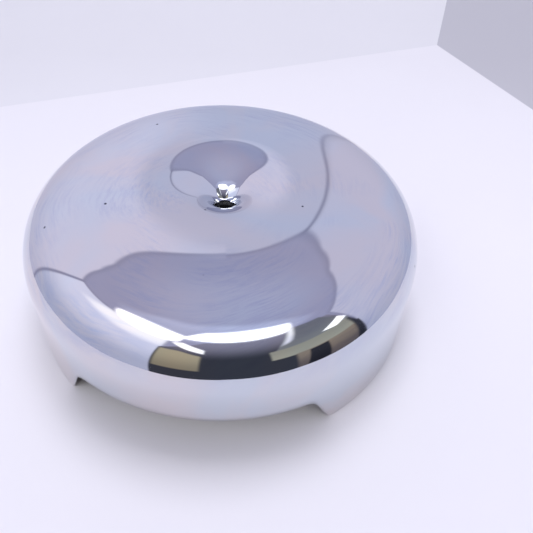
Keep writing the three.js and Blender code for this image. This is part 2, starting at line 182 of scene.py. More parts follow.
# Nickel-chrome plate over polished steel: a mirror, with wipe marks, a few pits and a faint press ripple
def makeChrome():
    material, tree, shader, coords = newMaterial("chromePlatedSteel")
    look = chromeLook
    # wipe marks run round the cover, bend with a slow noise, and show only in patches
    drift = addNode(tree, "ShaderNodeTexNoise", {"Vector": coords, "Scale": 14, "Detail": 2})
    bent = addNode(
        tree, "ShaderNodeVectorMath", {0: drift.outputs["Color"], 1: (0.022, 0.022, 0)}, operation="MULTIPLY",
    )
    bentCoords = addNode(tree, "ShaderNodeVectorMath", {0: coords, 1: bent.outputs[0]}, operation="ADD")
    level = addNode(
        tree, "ShaderNodeVectorMath", {0: bentCoords.outputs[0], 1: (1, 1, 0)}, operation="MULTIPLY",
    ).outputs[0]
    radius = addNode(tree, "ShaderNodeVectorMath", {0: level}, operation="LENGTH").outputs["Value"]
    outward = addNode(tree, "ShaderNodeVectorMath", {0: level}, operation="NORMALIZE").outputs[0]
    around = addNode(
        tree, "ShaderNodeVectorMath", {0: outward, "Scale": look["streakWidth"] * mm * 4.5}, operation="SCALE",
    ).outputs[0]
    across = addNode(tree, "ShaderNodeCombineXYZ", {2: radius}).outputs[0]
    swept = addNode(tree, "ShaderNodeVectorMath", {0: around, 1: across}, operation="ADD").outputs[0]
    streaks = addNode(
        tree, "ShaderNodeTexNoise",
        {"Vector": swept, "Scale": 1 / (look["streakWidth"] * mm), "Detail": 4, "Roughness": 0.65},
    )
    patches = addNode(tree, "ShaderNodeTexNoise", {"Vector": coords, "Scale": 20, "Detail": 3, "Roughness": 0.6})
    patchMask = addNode(tree, "ShaderNodeMapRange", {"Value": patches.outputs[0], "From Min": 0.42, "From Max": 0.62})
    streakMask = addNode(tree, "ShaderNodeMapRange", {"Value": streaks.outputs[0], "From Min": 0.42, "From Max": 0.68})
    rise = addNode(tree, "ShaderNodeSeparateXYZ", {0: coords})
    onTop = addNode(
        tree, "ShaderNodeMapRange",
        {"Value": rise.outputs[2], "From Min": look["cleanBelow"] * mm, "From Max": (look["cleanBelow"] + 14) * mm},
    )
    patchTop = addNode(tree, "ShaderNodeMath", {0: patchMask.outputs[0], 1: onTop.outputs[0]}, operation="MULTIPLY")
    marks = addNode(tree, "ShaderNodeMath", {0: patchTop.outputs[0], 1: streakMask.outputs[0]}, operation="MULTIPLY")
    # pits where the plate has lifted
    cells = addNode(tree, "ShaderNodeTexVoronoi", {"Vector": coords, "Scale": 1 / (look["pitSpacing"] * mm)})
    dots = addNode(
        tree, "ShaderNodeMapRange",
        {"Value": cells.outputs["Distance"], "From Min": 0.045, "From Max": 0.085, "To Min": 1, "To Max": 0},
    )
    few = addNode(tree, "ShaderNodeSeparateColor", {0: cells.outputs["Color"]})
    chosen = addNode(tree, "ShaderNodeMath", {0: few.outputs[0], 1: 0.94}, operation="GREATER_THAN")
    pits = addNode(tree, "ShaderNodeMath", {0: dots.outputs[0], 1: chosen.outputs[0]}, operation="MULTIPLY")
    # a dried film tints the plate, warm in some places and cool in others
    tint = addNode(
        tree, "ShaderNodeTexNoise", {"Vector": bentCoords.outputs[0], "Scale": 17, "Detail": 3, "Distortion": 0.8},
    )
    tintShare = addNode(tree, "ShaderNodeMapRange", {"Value": tint.outputs[0], "From Min": 0.38, "From Max": 0.62})
    plate = addNode(
        tree, "ShaderNodeMix", {0: tintShare.outputs[0], 6: linearColor(look["warm"]), 7: linearColor(look["cool"])},
        data_type="RGBA",
    )
    film = addNode(
        tree, "ShaderNodeMix", {0: marks.outputs[0], 6: plate.outputs[2], 7: linearColor(look["film"])},
        data_type="RGBA",
    )
    pitted = addNode(
        tree, "ShaderNodeMix", {0: pits.outputs[0], 6: film.outputs[2], 7: linearColor(look["pitColor"])},
        data_type="RGBA",
    )
    tree.links.new(pitted.outputs[2], shader.inputs["Base Color"])
    haze = addNode(
        tree, "ShaderNodeMapRange",
        {"Value": marks.outputs[0], "To Min": look["roughness"], "To Max": look["scuffRoughness"]},
    )
    tree.links.new(haze.outputs[0], shader.inputs["Roughness"])
    shader.inputs["Metallic"].default_value = 1.0
    ripple = addNode(tree, "ShaderNodeTexNoise", {"Vector": coords, "Scale": 45, "Detail": 2})
    bump = addNode(
        tree, "ShaderNodeBump", {"Height": ripple.outputs[0], "Strength": 1.0, "Distance": look["waviness"] * mm},
    )
    dent = addNode(
        tree, "ShaderNodeBump",
        {"Height": pits.outputs[0], "Strength": 0.6, "Distance": look["pitDepth"] * mm, "Normal": bump.outputs[0]},
        invert=True,
    )
    tree.links.new(dent.outputs[0], shader.inputs["Normal"])
    return material


coverShape = {
    "radius": 101.5, "height": 72.4, "sheet": 1.2, "taper": 1.2,
    "shoulderHeight": 38.4, "shoulderPower": 2.35, "crestRadius": 47,
    "dishDepth": 16.4, "funnelRadius": 16, "funnelDepth": 6.1,
    "funnelSlope": 25, "holeSlope": 62, "holeRadius": 4.2,
    "reliefDirection": -100, "reliefHalfWidth": 61.8, "reliefHeight": 21.4,
    "reliefLean": 0.4, "reliefCorner": 7, "reliefFoot": 2.5,
    "rimRounding": 0.45,
    "turnSteps": 640,
}


def coverOutside(shape):
    run = shape["radius"] - shape["taper"] - shape["crestRadius"]
    rise = shape["height"] - shape["shoulderHeight"]
    line = []
    for i in range(1, 7):  # up the skirt
        t = i / 7
        line.append((shape["radius"] - shape["taper"] * t, shape["shoulderHeight"] * t))
    steps = 30
    for i in range(steps + 1):
        turn = i / steps * math.pi / 2
        across = max(math.cos(turn), 0) ** (2 / shape["shoulderPower"])
        up = math.sin(turn) ** (2 / shape["shoulderPower"])
        line.append((shape["crestRadius"] + run * across, shape["shoulderHeight"] + rise * up))
    crest = Vector((shape["crestRadius"], shape["height"]))
    mouth = Vector((shape["funnelRadius"], shape["height"] - shape["funnelDepth"]))
    hole = Vector((shape["holeRadius"], shape["height"] - shape["dishDepth"]))
    mouthWay = Vector((1, math.tan(math.radians(shape["funnelSlope"])))).normalized()
    holeWay = Vector((1, math.tan(math.radians(shape["holeSlope"])))).normalized()
    dishPull = (crest.x - mouth.x) / 3
    funnelPull = (mouth - hole).length / 3
    line += bezier(tuple(crest), (crest.x - dishPull, crest.y), tuple(mouth + mouthWay * dishPull), tuple(mouth), 14)
    line += bezier(
        tuple(mouth), tuple(mouth - mouthWay * funnelPull), tuple(hole + holeWay * funnelPull), tuple(hole), 12,
    )
    return line


# height of the notch's edge over the rim, for a distance from the notch's middle line
def reliefEdge(shape):
    lean = Vector((-shape["reliefLean"], 1)).normalized()
    corner = Vector((shape["reliefHalfWidth"] - shape["reliefLean"] * shape["reliefHeight"], shape["reliefHeight"]))
    setback = shape["reliefCorner"] * math.tan((math.pi / 2 - math.atan(shape["reliefLean"])) / 2)
    foot = Vector((shape["reliefHalfWidth"], 0))
    line = []
    for start, middle, end, steps in (
        (foot + Vector((shape["reliefFoot"], 0)), foot, foot + lean * shape["reliefFoot"], 10),
        (corner - lean * setback, corner, corner - Vector((setback, 0)), 24),
    ):
        for i in range(steps + 1):
            t = i / steps
            line.append(tuple(start * (1 - t) ** 2 + middle * 2 * t * (1 - t) + end * t * t))

    def edgeHeight(aside):
        aside = abs(aside)
        if aside >= line[0][0]:
            return 0.0
        for (x0, y0), (x1, y1) in zip(line, line[1:]):
            if x1 <= aside <= x0:
                return y0 + (y1 - y0) * (x0 - aside) / max(x0 - x1, 1e-9)
        return shape["reliefHeight"]

    return edgeHeight


def makeCover(material):
    shape = coverShape
    outside = coverOutside(shape)
    inside = offsetLine(outside, shape["sheet"])
    rim, edge = shape["rimRounding"], shape["radius"]
    low = [
        (edge - shape["sheet"], rim), (edge - shape["sheet"] + rim * 0.35, rim * 0.2), (edge - 0.6, 0),
        (edge - rim * 0.35, rim * 0.2), (edge, rim),
    ]
    lip = offsetLine(outside, shape["sheet"] / 2)[-1]
    mesh = turnOutline(low + outside + [lip] + inside[::-1], shape["turnSteps"])
    # the skirt is drawn up over the notch, so that the notch keeps a rounded edge
    edgeHeight = reliefEdge(shape)
    facing = math.radians(shape["reliefDirection"])
    for vert in mesh.verts:
        z = vert.co.z / mm
        if z >= shape["shoulderHeight"]:
            continue
        along = (vert.co.x * math.cos(facing) + vert.co.y * math.sin(facing)) / mm
        aside = (vert.co.y * math.cos(facing) - vert.co.x * math.sin(facing)) / mm
        if along <= 0:
            continue
        raised = z + edgeHeight(aside) * (1 - z / shape["shoulderHeight"])
        shrink = shape["taper"] * (raised - z) / shape["shoulderHeight"]
        out = Vector((vert.co.x, vert.co.y, 0))
        vert.co -= out.normalized() * shrink * mm
        vert.co.z = raised * mm
    finishPiece("coverShell", mesh, "cover", ["cover"], material, 60)
    print("cover done")


makeCover(makeChrome())


# patch and grain are in millimetres; grain finer than half a millimetre is drawn coarser, so that it shows
finishes = {
    # silicone rubber, moulded: soft sheen with fine mould grain
    "filter_rubber": dict(
        name="siliconeRubber", colors=("a84a22", "bd5c30"), patch=9, roughness=(0.48, 0.62), grain=0.5, depth=0.03,
    ),
    # cellulose filter paper: fibrous, cream, wholly matt
    "filter_paper": dict(
        name="pleatedPaper", colors=("cfc09a", "e4d8ba"), patch=3, stretch=(1, 1, 0.3), roughness=(0.88, 0.98),
        grain=0.4, depth=0.05,
    ),
    # galvanised steel mesh: grey spangle, half bright
    "screen_wire": dict(
        name="galvanisedMesh", colors=("9da1a8", "c3c6cc"), patch=2.5, roughness=(0.30, 0.5), metallic=1, grain=0.6,
        depth=0.02,
    ),
    # stoved enamel on steel: black with a slight orange peel
    "backplate_enamel": dict(
        name="blackEnamel", colors=("17181b", "212226"), patch=20, roughness=(0.22, 0.34), grain=1.4, depth=0.02,
    ),
    # sand-cast aluminium, its flat faces milled
    "cast_aluminium": dict(
        name="castAluminium", colors=("9b9da1", "b3b5b8"), patch=6, roughness=(0.42, 0.62), metallic=1, grain=0.9,
        depth=0.12, rings=0.7,
    ),
    # aluminium turned in a lathe: fine rings across its length
    "turned_aluminium": dict(
        name="turnedAluminium", colors=("b4b6ba", "c9cbce"), patch=8, stretch=(1, 1, 14), roughness=(0.25, 0.4),
        metallic=1, grain=2.0, depth=0.02,
    ),
    # compressed gasket fibre: speckled grey green
    "gasket_fibre": dict(
        name="gasketFibre", colors=("555a52", "777b70"), patch=1.2, roughness=(0.85, 0.95), grain=0.5, depth=0.06,
    ),
    # nitrile rubber: near black, bloomed in patches
    "black_rubber": dict(
        name="nitrileRubber", colors=("17171a", "28282b"), patch=5, roughness=(0.6, 0.8), grain=0.5, depth=0.03,
    ),
    # glass-filled nylon, moulded: dark with a satin grain
    "elbow_moulding": dict(
        name="glassFilledNylon", colors=("1f2023", "2b2c30"), patch=4, roughness=(0.38, 0.52), grain=0.4, depth=0.02,
    ),
    # zinc plate on pressed steel: cool grey with a faint straw bloom
    "zinc_plate": dict(
        name="zincPlatedSteel", colors=("a9adb3", "c2bfb4"), patch=7, roughness=(0.24, 0.42), metallic=1, grain=0.8,
        depth=0.015,
    ),
    # zinc plate on cold-headed fasteners: brighter, with handling marks
    "fastener_zinc": dict(
        name="brightZincFasteners", colors=("b0b3b8", "c9cacb"), patch=3, roughness=(0.2, 0.38), metallic=1, grain=0.5,
        depth=0.02,
    ),
}

# painted shade for the post's mouth and thread: steel painted near black, half dull, so the hole in the cover reads
# dark
threadPaintedShade = dict(
    name="paintedShadeThread", colors=("0b0b0d", "1a1a1d"), patch=1.5, roughness=(0.45, 0.7), grain=0.4, depth=0.03,
)


def makeFinish(look):
    material, tree, shader, coords = newMaterial(look["name"])
    drawn = addNode(tree, "ShaderNodeMapping", {"Vector": coords, "Scale": look.get("stretch", (1, 1, 1))}).outputs[0]
    patch = addNode(
        tree, "ShaderNodeTexNoise", {"Vector": drawn, "Scale": 1 / (look["patch"] * mm), "Detail": 4, "Roughness": 0.6},
    )
    share = addNode(tree, "ShaderNodeMapRange", {"Value": patch.outputs[0], "From Min": 0.35, "From Max": 0.65})
    paint = addNode(
        tree, "ShaderNodeMix",
        {0: share.outputs[0], 6: linearColor(look["colors"][0]), 7: linearColor(look["colors"][1])}, data_type="RGBA",
    )
    tree.links.new(paint.outputs[2], shader.inputs["Base Color"])
    gloss = addNode(
        tree, "ShaderNodeMapRange",
        {
            "Value": patch.outputs[0], "From Min": 0.3, "From Max": 0.7, "To Min": look["roughness"][0],
            "To Max": look["roughness"][1],
        },
    )
    tree.links.new(gloss.outputs[0], shader.inputs["Roughness"])
    shader.inputs["Metallic"].default_value = look.get("metallic", 0)
    grain = addNode(tree, "ShaderNodeTexNoise", {"Vector": coords, "Scale": 1 / (look["grain"] * mm), "Detail": 2})
    height = grain.outputs[0]
    if "rings" in look:  # milled rings on faces that lie flat
        facing = addNode(tree, "ShaderNodeSeparateXYZ", {0: addNode(tree, "ShaderNodeNewGeometry").outputs["Normal"]})
        upright = addNode(tree, "ShaderNodeMath", {0: facing.outputs[2]}, operation="ABSOLUTE")
        flat = addNode(tree, "ShaderNodeMath", {0: upright.outputs[0], 1: 0.95}, operation="GREATER_THAN")
        waves = addNode(
            tree, "ShaderNodeTexWave", {"Vector": coords, "Scale": 0.314 / (look["rings"] * mm)}, wave_type="RINGS",
            rings_direction="Z",
        )
        height = addNode(
            tree, "ShaderNodeMix", {0: flat.outputs[0], 2: grain.outputs[0], 3: waves.outputs["Fac"]},
        ).outputs[0]
    bump = addNode(tree, "ShaderNodeBump", {"Height": height, "Strength": 0.7, "Distance": look["depth"] * mm})
    tree.links.new(bump.outputs[0], shader.inputs["Normal"])
    return material


madeFinishes = {slot: makeFinish(look) for slot, look in finishes.items()}


def boxOf(node):
    low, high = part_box(node)
    return low / mm, high / mm


# a copy of the frame's own solid, its facets joined and its edges broken
def softenNode(node, body, slot, edge, segments=2):
    mesh = bmesh.new()
    mesh.from_mesh(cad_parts[node].data)
    bmesh.ops.remove_doubles(mesh, verts=mesh.verts, dist=2e-6)
    bmesh.ops.dissolve_limit(mesh, angle_limit=math.radians(1), verts=mesh.verts, edges=mesh.edges)
    sharp = [e for e in mesh.edges if len(e.link_faces) == 2 and e.calc_face_angle(0) > math.radians(28)]
    bmesh.ops.bevel(
        mesh, geom=sharp, offset=edge * mm, offset_type="OFFSET", affect="EDGES", segments=segments, profile=0.5,
        clamp_overlap=True, material=-1,
    )
    return finishPiece(node + "_finished", mesh, body, [node], madeFinishes[slot], 30)


# draws a loop of edges out to where "move" puts each point, and gives the new loop
def drawOut(mesh, edges, move):
    made = bmesh.ops.extrude_edge_only(mesh, edges=edges)["geom"]
    for vert in (g for g in made if isinstance(g, bmesh.types.BMVert)):
        vert.co = move(vert.co)
    return [g for g in made if isinstance(g, bmesh.types.BMEdge) and all(v in made for v in g.verts)]


elementShape = {
    "pleats": 64, "paper": 0.55, "foldSteps": 4, "foldRadius": 0.75, "foldWidth": 0.75,
    "innerGap": 0.7, "outerGap": 0.35,  # between the folds and the meshes
    "outerMesh": (92, 6), "innerMesh": (68, 6), "strand": 0.42, "meshSheet": 0.6,
    "meshInset": 0.12, "meshEndGap": 0.05,
    "capRound": 1.8, "capInset": 2.4, "ribHeight": 1.0, "ribRound": 0.4,
    "edgeRib": (4.6, 5.4),  # from the cap's edge to the rib's top and foot
    "middleRib": (1.2, 2),  # half widths at its top and foot
}


def makePleats():
    shape = elementShape
    low, high = boxOf("filter_pleats")
    inner = boxOf("filter_inner_screen")[1].x + shape["innerGap"]
    outer = high.x - shape["outerGap"]
    count, fold = shape["pleats"], shape["foldRadius"]
    mesh = bmesh.new()
    points = []
    for i in range(2 * count):
        turn = math.pi * i / count
        tip, way = (outer, -1) if i % 2 == 0 else (inner, 1)
        for k in range(-shape["foldSteps"], shape["foldSteps"] + 1):
            bend = k / shape["foldSteps"] * math.pi / 2
            radius = tip + way * fold * (1 - math.cos(bend))
            aside = fold * math.sin(bend) * shape["foldWidth"]
            x = radius * math.cos(turn) - aside * math.sin(turn)
            y = radius * math.sin(turn) + aside * math.cos(turn)
            points.append(mesh.verts.new((x * mm, y * mm, low.z * mm)))
    edges = [mesh.edges.new((points[i - 1], points[i])) for i in range(len(points))]
    rise = (high.z - low.z) / 3 * mm
    for _ in range(3):
        edges = drawOut(mesh, edges, lambda co: co + Vector((0, 0, rise)))
    bmesh.ops.recalc_face_normals(mesh, faces=mesh.faces)
    bmesh.ops.solidify(mesh, geom=mesh.faces[:], thickness=shape["paper"] * mm)
    finishPiece("pleatedPaper", mesh, "filter", ["filter_pleats"], madeFinishes["filter_paper"], 60)


# a sheet of diamond mesh rolled into a tube
def makeMeshTube(name, node, cells):
    shape = elementShape
    low, high = boxOf(node)
    around, rows = cells
    radius = high.x - shape["meshInset"]
    foot, rise = low.z + shape["meshEndGap"], high.z - low.z - 2 * shape["meshEndGap"]
    mesh = bmesh.new()
    bmesh.ops.create_grid(mesh, x_segments=around, y_segments=rows, size=1)
    first = mesh.edges[:]
    bmesh.ops.poke(mesh, faces=mesh.faces[:])
    bmesh.ops.dissolve_edges(mesh, edges=[e for e in first if e.is_valid and not e.is_boundary])
    for vert in mesh.verts:
        turn = (vert.co.x + 1) * math.pi
        height = (vert.co.y + 1) / 2
        vert.co = Vector((radius * math.cos(turn), radius * math.sin(turn), foot + rise * height)) * mm
    bmesh.ops.remove_doubles(mesh, verts=mesh.verts, dist=2e-5)
    # the half diamonds along the seam are joined into whole ones
    seam = [e for e in mesh.edges if len(e.link_faces) == 2 and all(len(f.verts) == 3 for f in e.link_faces)]
    bmesh.ops.dissolve_edges(mesh, edges=seam)
    bmesh.ops.recalc_face_normals(mesh, faces=mesh.faces)
    strands = bmesh.ops.inset_individual(
        mesh, faces=mesh.faces[:], thickness=shape["strand"] * mm, use_even_offset=True,
    )["faces"]
    keep = set(strands)
    bmesh.ops.delete(mesh, geom=[f for f in mesh.faces if f not in keep], context="FACES")
    bmesh.ops.solidify(mesh, geom=mesh.faces[:], thickness=shape["meshSheet"] * mm)
    finishPiece(name, mesh, "filter", [node], madeFinishes["screen_wire"], 35)


def makeCaps():
    shape = elementShape
    for name, node, up in (
        ("elementCapLower", "filter_bottom_cap", False), ("elementCapUpper", "filter_top_cap", True),
    ):
        low, high = boxOf(node)
        inner, outer = boxOf("filter_inner_screen")[1].x - shape["capInset"], high.x
        face, back = (high.z, low.z) if up else (low.z, high.z)
        sunk = face + (-shape["ribHeight"] if up else shape["ribHeight"])
        middle = (inner + outer) / 2
        edgeTop, edgeFoot = shape["edgeRib"]
        ribTop, ribFoot = shape["middleRib"]
        big, small = shape["capRound"], shape["ribRound"]
        corners = [
            (inner, back, big), (outer, back, big), (outer, face, big),
            (outer - edgeTop, face, 0.5), (outer - edgeFoot, sunk, small),
            (middle + ribFoot, sunk, small), (middle + ribTop, face, 0.5),
            (middle - ribTop, face, 0.5), (middle - ribFoot, sunk, small),
            (inner + edgeFoot, sunk, small), (inner + edgeTop, face, 0.5), (inner, face, big),
        ]
        finishPiece(
            name, turnOutline(roundedOutline(corners, 3), 144), "filter", [node],
            madeFinishes["filter_rubber"], 50,
        )


makePleats()
makeMeshTube("elementMeshOuter", "filter_outer_screen", elementShape["outerMesh"])
makeMeshTube("elementMeshInner", "filter_inner_screen", elementShape["innerMesh"])
makeCaps()
print("filter element done")


baseShape = {
    "plateSheet": 1.5, "plateBend": 3, "throatEdge": 23.3, "lipRound": 0.5,
    "castEdge": 0.6, "gasketEdge": 0.12, "strapEdge": 0.45, "postEdge": 0.3,
    # where the painted shade reaches inside the post: the mouth's radius, the thread's radius and depth
    "mouthRadius": 5.9, "threadRadius": 4.9, "threadDepth": 9.5,  # what is dark inside the post
    "ringSteps": 18,
}


def makeBackplate():
    shape = baseShape
    low, high = boxOf("backplate")
    edge, sheet, bend = high.x, shape["plateSheet"], shape["plateBend"]
    inner, top = shape["throatEdge"], high.z
    line = [(inner, low.z), (inner + 6, low.z), (edge - bend, low.z)]
    line += bezier(
        (edge - bend, low.z), (edge - bend * 0.45, low.z), (edge, low.z + bend * 0.55), (edge, low.z + bend), 8,
    )
    lip = shape["lipRound"]
    line += [(edge, top - lip), (edge - lip / 2, top - lip / 5), (edge - sheet / 2, top)]
    line += [(edge - sheet + lip / 2, top - lip / 5), (edge - sheet, top - lip)]
    line += [(edge - sheet, low.z + bend)]
    line += bezier(
        (edge - sheet, low.z + bend), (edge - sheet, low.z + bend * 0.78), (edge - bend * 0.78, low.z + sheet),
        (edge - bend, low.z + sheet), 6,
    )
    line += [(inner + 6, low.z + sheet), (inner, low.z + sheet)]
    finishPiece(
        "enamelledBackplate", turnOutline(line, 168), "base", ["backplate"],
        madeFinishes["backplate_enamel"], 40,
    )


def makeRing():
    low, high = boxOf("carburettor_o_ring")
    section = (high.z - low.z) / 2
    middle = high.x - section
    steps = baseShape["ringSteps"]
    turns = [2 * math.pi * i / steps for i in range(steps)]
    line = [(middle + section * math.cos(turn), low.z + section + section * math.sin(turn)) for turn in turns]
    finishPiece(
        "carburettorRing", turnOutline(line, 96), "base", ["carburettor_o_ring"],
        madeFinishes["black_rubber"], 60,
    )


makeBackplate()
makeRing()
softenNode("carburettor_adapter", "base", "cast_aluminium", baseShape["castEdge"])
softenNode("adapter_gasket", "base", "gasket_fibre", baseShape["gasketEdge"], 1)
softenNode("cover_bracket", "base", "zinc_plate", baseShape["strapEdge"])
post = softenNode("cover_post", "base", "zinc_plate", baseShape["postEdge"])
# its mouth and thread get painted shade: near black, so the hole in the cover shows dark
post.data.materials.append(makeFinish(threadPaintedShade))
postTop = boxOf("cover_post")[1].z
for face in post.data.polygons:
    reach = max(math.hypot(*post.data.vertices[i].co[:2]) for i in face.vertices) / mm
    depth = postTop - face.center.z / mm
    inThread = reach < baseShape["threadRadius"] and depth < baseShape["threadDepth"]
    onMouth = reach < baseShape["mouthRadius"] and depth < 0.1
    if inThread or onMouth:
        face.material_index = 1
print("backplate done")


fastenerShape = {
    "facets": 48, "chamferAngle": 30, "threadDepth": 0.144, "pitch": 1.0, "edge": 0.25,
    "lockGap": 8,  # degrees, where a lock washer is split
    "small": {"flats": 10, "head": 4, "shank": 3, "hole": 3.3, "washer": 6.1},
    "large": {"flats": 13, "head": 5.3, "shank": 4, "hole": 4.3, "washer": 8},
}


# a hexagon with the usual round chamfer; a hole is left where holeRadius is given
def addHexagon(mesh, center, bottom, top, acrossFlats, holeRadius=0.0, chamferBelow=True):
    count = fastenerShape["facets"]
    fall = math.tan(math.radians(fastenerShape["chamferAngle"]))
    half, inner = acrossFlats / 2, acrossFlats / 2 * 0.95

    def around(reach, height, hexagonal=False, side=0):
        def move(co):
            angle = math.atan2(co.y / mm - center[1], co.x / mm - center[0])
            radius, z = reach, height
            if hexagonal:
                radius = half / math.cos((angle + math.pi / 6) % (math.pi / 3) - math.pi / 6)
                z = height - side * (radius - inner) * fall
            return Vector((center[0] + radius * math.cos(angle), center[1] + radius * math.sin(angle), z)) * mm
        return move

    start = holeRadius or 0.4
    circle = bmesh.ops.create_circle(
        mesh, segments=count, radius=start * mm, cap_ends=False,
        matrix=Matrix.Translation(Vector((center[0], center[1], top)) * mm),
    )
    loop = first = list({e for v in circle["verts"] for e in v.link_edges})
    loop = drawOut(mesh, loop, around(inner, top))
    loop = drawOut(mesh, loop, around(0, top, True, 1))
    if chamferBelow:
        loop = drawOut(mesh, loop, around(0, bottom, True, -1))
        loop = drawOut(mesh, loop, around(inner, bottom))
    else:
        loop = drawOut(mesh, loop, around(0, bottom, True, 0))
    loop = drawOut(mesh, loop, around(start, bottom))
    if holeRadius:
        bmesh.ops.bridge_loops(mesh, edges=loop + first)
    else:
        bmesh.ops.holes_fill(mesh, edges=loop + first, sides=0)


def addShank(mesh, center, bottom, top, radius):
    shape = fastenerShape
    pitch, depth = shape["pitch"], radius * shape["threadDepth"]
    line = [(0, bottom), (radius - 0.8, bottom), (radius - depth, bottom + 0.7)]
    z = bottom + 0.7
    while z + pitch < top - 0.6:
        line += [(radius, z + pitch * 0.42), (radius, z + pitch * 0.58), (radius - depth, z + pitch)]
        z += pitch
    line += [(radius - depth, top), (0, top)]
    part = bmesh.new()
    points = [part.verts.new((r * mm, 0, h * mm)) for r, h in line]
    edges = [part.edges.new(pair) for pair in zip(points, points[1:])]
    bmesh.ops.spin(
        part, geom=points + edges, axis=(0, 0, 1), cent=(0, 0, 0), angle=2 * math.pi, steps=24, use_merge=True,
    )
    bmesh.ops.remove_doubles(part, verts=part.verts, dist=1e-6)
    bmesh.ops.translate(part, vec=(center[0] * mm, center[1] * mm, 0), verts=part.verts)
    spare = bpy.data.meshes.new("shank")
    part.to_mesh(spare)
    part.free()
    mesh.from_mesh(spare)
    bpy.data.meshes.remove(spare)


def makeBolt(node, size):
    low, high = boxOf(node)
    underHead = high.z - size["head"]
    center = ((low.x + high.x) / 2, (low.y + high.y) / 2)
    mesh = bmesh.new()
    addHexagon(mesh, center, underHead, high.z, size["flats"], chamferBelow=False)
    addShank(mesh, center, low.z, underHead + 0.4, size["shank"])  # the shank runs a little way into the head
    bmesh.ops.recalc_face_normals(mesh, faces=mesh.faces)
    finishPiece(node + "_threaded", mesh, "base", [node], madeFinishes["fastener_zinc"], 30)


def makeNut(node, size, slot):
    low, high = boxOf(node)
    mesh = bmesh.new()
    addHexagon(mesh, ((low.x + high.x) / 2, (low.y + high.y) / 2), low.z, high.z, size["flats"], size["hole"])
    bmesh.ops.recalc_face_normals(mesh, faces=mesh.faces)
    finishPiece(node + "_chamfered", mesh, "base", [node], madeFinishes[slot], 30)


def makeWasher(node, size, split):
    low, high = boxOf(node)
    center = (round((low.x + high.x) / 2, 2), round((low.y + high.y) / 2, 2))
    edge = fastenerShape["edge"]
    hole, rim = size["hole"], size["washer"]
    corners = [(hole, low.z, edge), (rim, low.z, edge), (rim, high.z, edge), (hole, high.z, edge)]
    gap = math.radians(fastenerShape["lockGap"]) if split else 0
    mesh = turnOutline(roundedOutline(corners, 2), 56, center, 2 * math.pi - gap)
    finishPiece(node + "_rounded", mesh, "base", [node], madeFinishes["fastener_zinc"], 40)


small, large = fastenerShape["small"], fastenerShape["large"]
for i in (1, 2, 3):
    makeBolt(f"adapter_screw_{i}", small)
    makeWasher(f"adapter_screw_washer_{i}", small, True)
for i in (1, 2):
    makeBolt(f"bracket_screw_{i}", small)
    makeWasher(f"bracket_screw_washer_{i}", small, True)
    makeNut(f"bracket_nut_{i}", small, "fastener_zinc")
    makeBolt(f"support_bolt_{i}", large)
    makeWasher(f"support_bolt_washer_{i}", large, False)
makeNut("post_nut", large, "zinc_plate")
print("fasteners done")


standoffShape = {"bore": 4.3, "radius": 7, "groove": 0.4, "grooveFrom": 4, "grooveTo": 6, "edge": 0.6, "boreEdge": 0.4}

breatherShape = {
    "tube": 4.2, "bore": 2.8, "bend": 9, "bendSteps": 12, "barb": 0.9, "barbLength": 3, "reach": 14,
    "grommet": 7.4, "groove": 1.8, "lip": 2.2,
}


def makeStandoff(node):
    low, high = boxOf(node)
    center = ((low.x + high.x) / 2, (low.y + high.y) / 2)
    shape = standoffShape
    bore, radius, groove = shape["bore"], shape["radius"], shape["groove"]
    start, end = low.z + shape["grooveFrom"], low.z + shape["grooveTo"]
    corners = [
        (bore, low.z, shape["boreEdge"]), (radius, low.z, shape["edge"]),
        (radius, start, 0), (radius - groove, start + groove, 0), (radius - groove, end - groove, 0), (radius, end, 0),
        (radius, high.z, shape["edge"]), (bore, high.z, shape["boreEdge"]),
    ]
    finishPiece(
        node + "_turned", turnOutline(roundedOutline(corners, 3), 64, center), "base", [node],
        madeFinishes["turned_aluminium"], 25,
    )


# the elbow's tube: down through the grommet, round the bend and out to the barbs, then back along the bore
def makeElbow():
    shape = breatherShape
    low, high = boxOf("breather_elbow")
    x, y = (low.x + high.x) / 2, high.y - shape["tube"]
    axis = low.z + shape["tube"] + shape["barb"]
    bendTop = axis + shape["bend"]
    mesh = bmesh.new()

    def tube(radius, stations):
        circle = bmesh.ops.create_circle(
            mesh, segments=32, radius=radius * mm, cap_ends=False,
            matrix=Matrix.Translation(Vector((x, y, high.z)) * mm),
        )
        first = loop = list({e for v in circle["verts"] for e in v.link_edges})
        loop = drawOut(mesh, loop, lambda co: Vector((co.x, co.y, bendTop * mm)))
        pivot = Vector((x, y - shape["bend"], bendTop)) * mm
        steps = shape["bendSteps"]
        turn = Matrix.Translation(pivot) @ Matrix.Rotation(-math.pi / 2 / steps, 4, "X") @ Matrix.Translation(-pivot)
        for _ in range(steps):
            loop = drawOut(mesh, loop, lambda co: turn @ co)
        middle = Vector((x, 0, axis)) * mm
        for along, size in stations:
            def move(co):
                out = Vector((co.x - middle.x, 0, co.z - middle.z)).normalized() * size * mm
                return Vector((middle.x + out.x, (y - shape["bend"] - along) * mm, middle.z + out.z))
            loop = drawOut(mesh, loop, move)
        return first, loop

    r, b, length, reach = shape["tube"], shape["barb"], shape["barbLength"], shape["reach"]
    inBarb, outBarb = reach - length - 1, reach - 0.9  # where each barb is widest
    outer = [
        (inBarb - length, r), (inBarb - length, r + 0.1), (inBarb, r + b), (inBarb + 0.1, r),
        (reach - length, r), (reach - length, r + 0.1), (outBarb, r + b), (reach - 0.2, r + 0.2), (reach, r - 0.3),
    ]
    outerFirst, outerLast = tube(r, outer)
    innerFirst, innerLast = tube(shape["bore"], [(reach, shape["bore"])])
    bmesh.ops.bridge_loops(mesh, edges=outerFirst + innerFirst)
    bmesh.ops.bridge_loops(mesh, edges=outerLast + innerLast)
    bmesh.ops.recalc_face_normals(mesh, faces=mesh.faces)
    finishPiece("breatherElbow", mesh, "base", ["breather_elbow"], madeFinishes["elbow_moulding"], 35)


